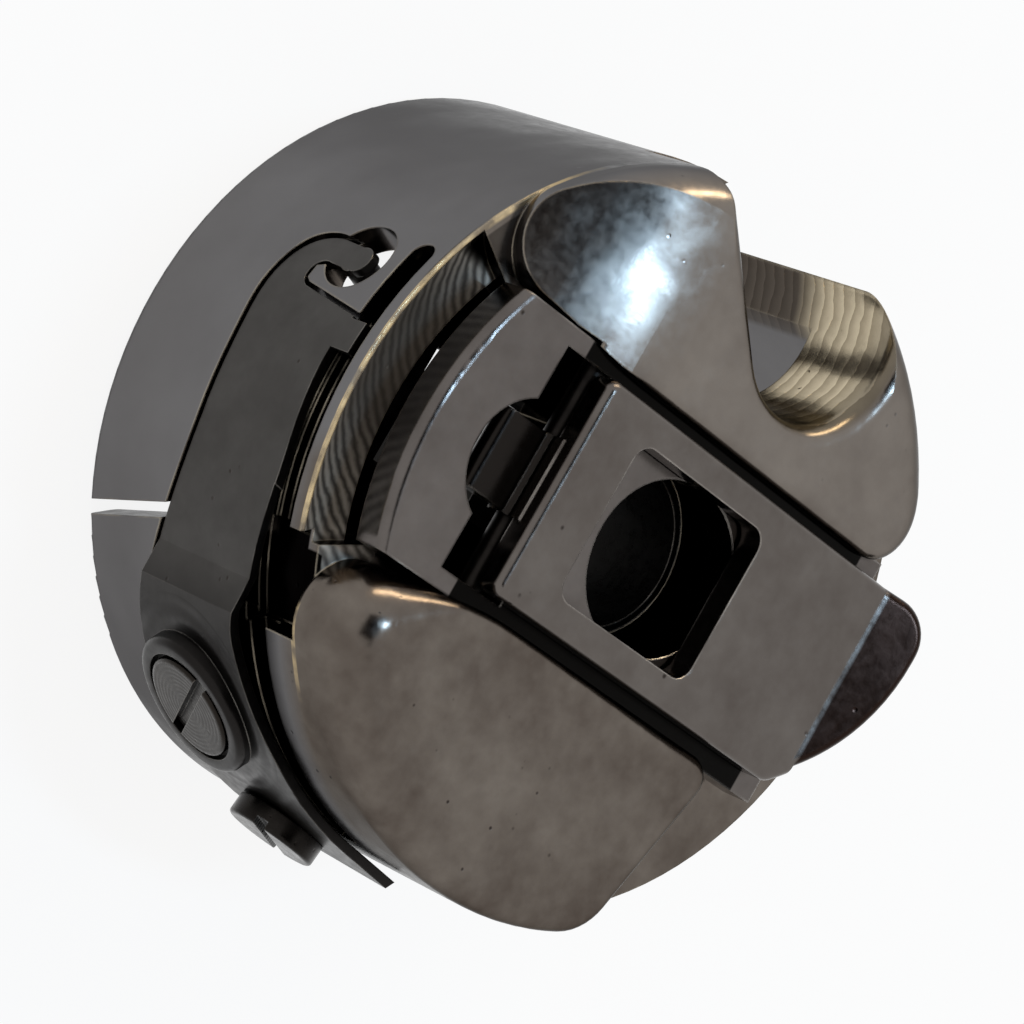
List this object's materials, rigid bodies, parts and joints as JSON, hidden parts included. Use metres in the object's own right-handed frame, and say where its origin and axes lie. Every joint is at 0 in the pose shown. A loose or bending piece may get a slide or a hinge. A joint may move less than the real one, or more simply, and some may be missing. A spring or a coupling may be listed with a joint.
{
  "type": "sewing machine bobbin case",
  "caption": "Open steel bobbin case with a hollow post, a hinged latch lever on a sprung slide, a leaf tension spring and its screws.",
  "frame": {"origin": "on the cup's axis in the plane of its open rim", "axes": "+Z along the cup's axis out of the latch face, +X along the latch lever towards its lip"},
  "size_m": [0.0234, 0.0246, 0.014],
  "materials": {
    "case_steel": "polished dark nickel plate on steel",
    "bright_steel": "turned and polished steel",
    "spring_steel": "rolled spring steel",
    "screw_steel": "oiled steel"
  },
  "bodies": {
    "case": {"case_body": "case_steel", "bobbin_post": "bright_steel", "latch_spring": "spring_steel", "tension_spring": "spring_steel", "fixing_screw": "screw_steel"},
    "slide": {"latch_slide": "case_steel", "latch_pin": "bright_steel"},
    "lever": {"latch_lever": "case_steel"},
    "regulator": {"regulating_screw": "screw_steel"}
  },
  "joints": [
    {"name": "slide_travel", "type": "slide", "parent": "case", "child": "slide", "axis": [-1, 0, 0], "range_m": [0, 0.001], "deforming": ["latch_spring"]},
    {"name": "lever_hinge", "type": "hinge", "parent": "slide", "child": "lever", "pos_m": [-0.005, 0, 0.0118], "axis": [0, -1, 0], "range_deg": [0, 85]},
    {"name": "regulator_turn", "type": "hinge", "parent": "case", "child": "regulator", "pos_m": [-0.00647, -0.01035, 0.0054], "axis": [-0.5299, -0.848, 0], "range_deg": [-180, 180]}
  ],
  "couplings": [
    {"joint": "slide_travel", "follows": "lever_hinge", "m_per_rad": 0.00067}
  ]
}
